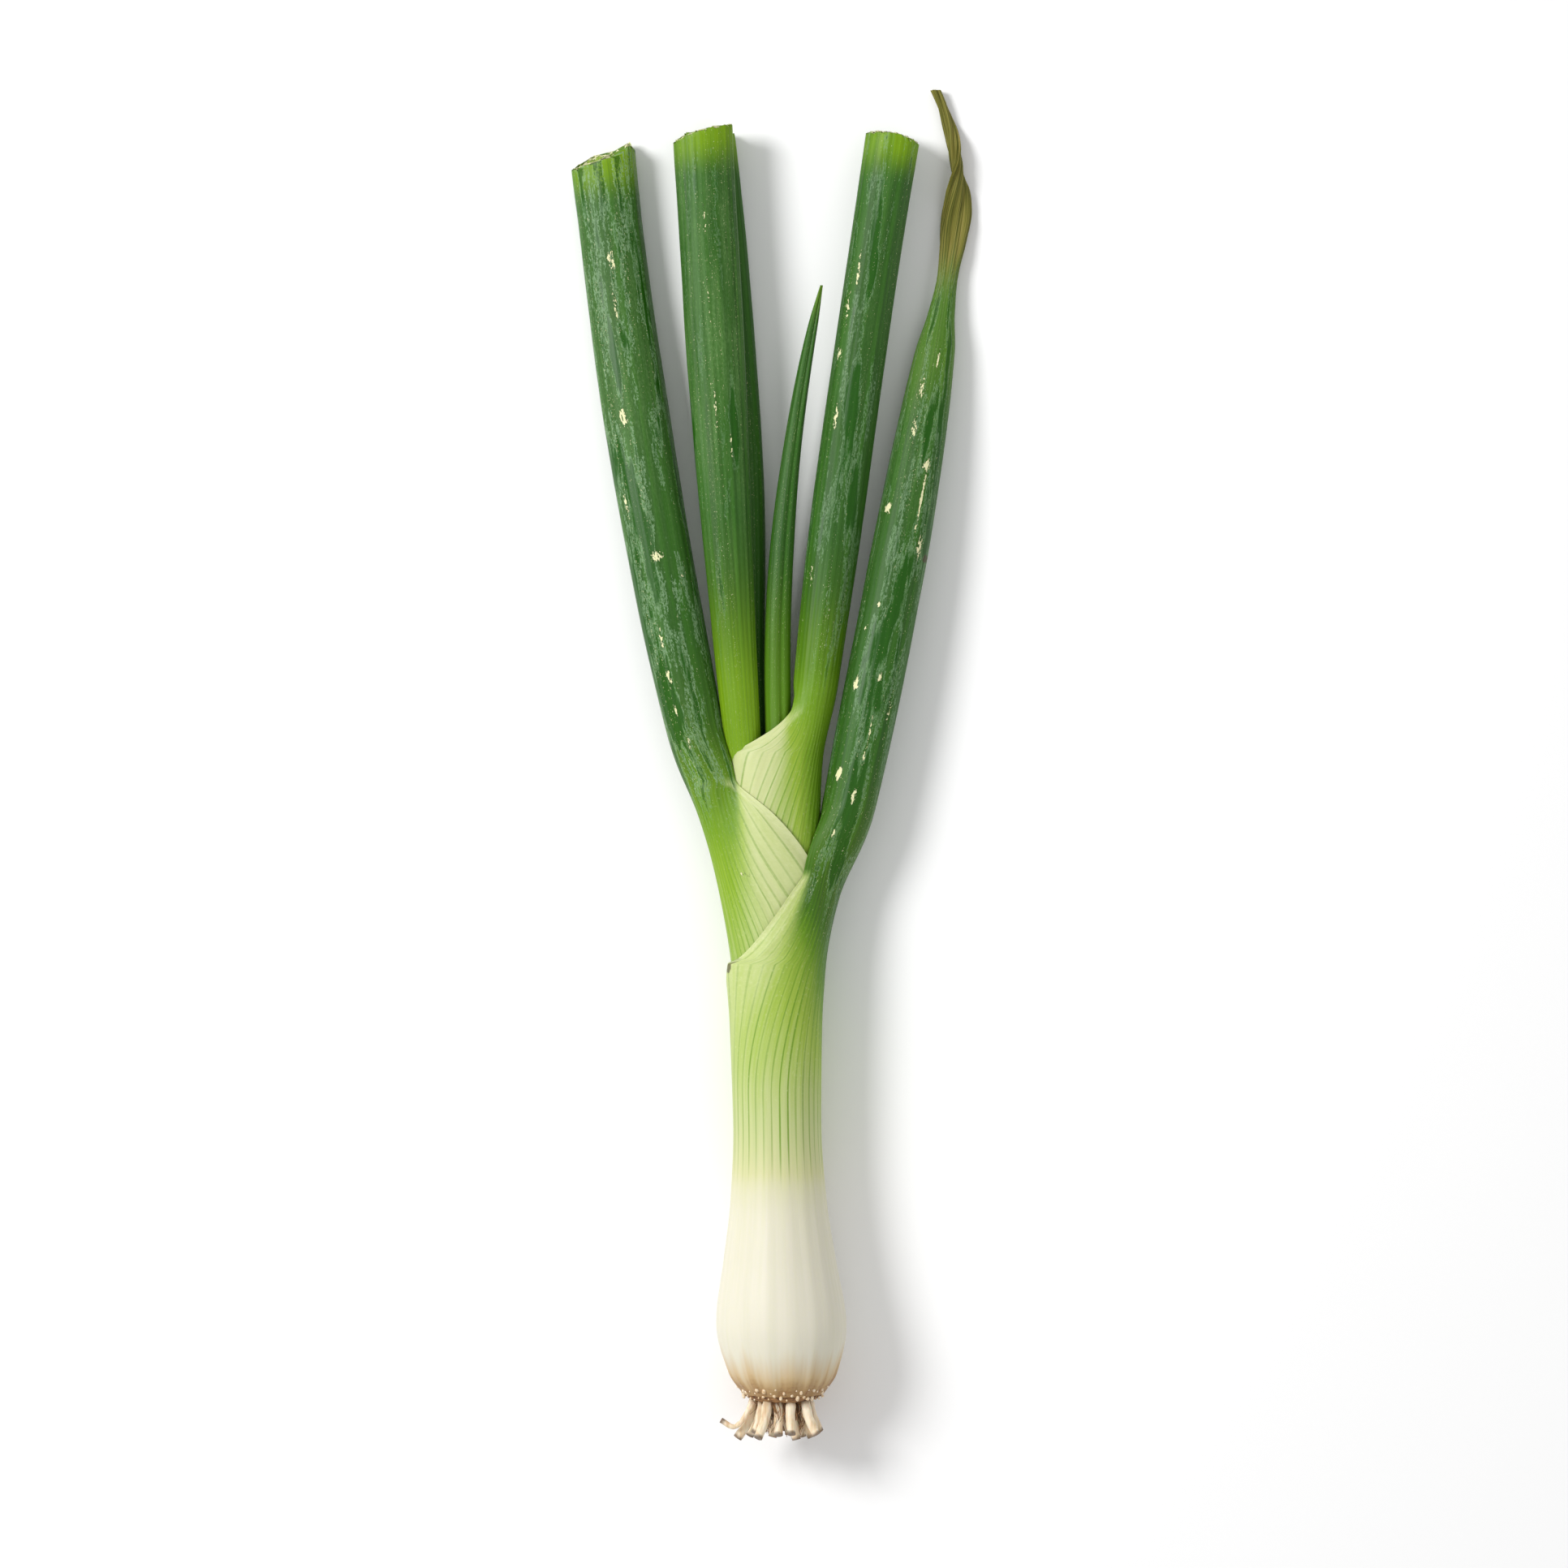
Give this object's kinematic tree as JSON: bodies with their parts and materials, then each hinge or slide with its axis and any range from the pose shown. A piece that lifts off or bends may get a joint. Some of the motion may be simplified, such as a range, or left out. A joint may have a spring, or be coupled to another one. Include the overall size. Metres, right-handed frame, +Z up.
{
  "type": "spring onion",
  "caption": "Spring onion lying down: white bulb with cut roots, a sheathed pale shaft and fanned hollow green leaves, most cut off at the end.",
  "frame": {"origin": "on the surface it lies on, under the middle of its bounding box", "axes": "+Y from the roots to the leaf ends, +X across the fan of leaves, +Z up from the surface"},
  "size_m": [0.0786, 0.2674, 0.0254],
  "materials": {
    "outer_leaf": "waxy, half matt leaf",
    "second_leaf": "waxy, half matt leaf",
    "third_leaf": "waxy, half matt leaf",
    "fourth_leaf": "waxy, half matt leaf",
    "back_leaf": "waxy, half matt leaf",
    "young_leaf": "waxy, half matt leaf",
    "basal_plate": "dry, matt",
    "roots": "dry, matt"
  },
  "bodies": {
    "root": {"outer_leaf": "outer_leaf", "second_leaf": "second_leaf", "third_leaf": "third_leaf", "fourth_leaf": "fourth_leaf", "back_leaf": "back_leaf", "young_leaf": "young_leaf", "basal_plate": "basal_plate", "root_01": "roots", "root_02": "roots", "root_03": "roots", "root_04": "roots", "root_05": "roots", "root_06": "roots", "root_07": "roots", "root_08": "roots", "root_09": "roots", "root_10": "roots", "root_11": "roots", "root_12": "roots", "root_13": "roots", "root_14": "roots", "root_15": "roots", "root_16": "roots", "root_17": "roots", "root_18": "roots", "root_19": "roots"}
  },
  "joints": []
}
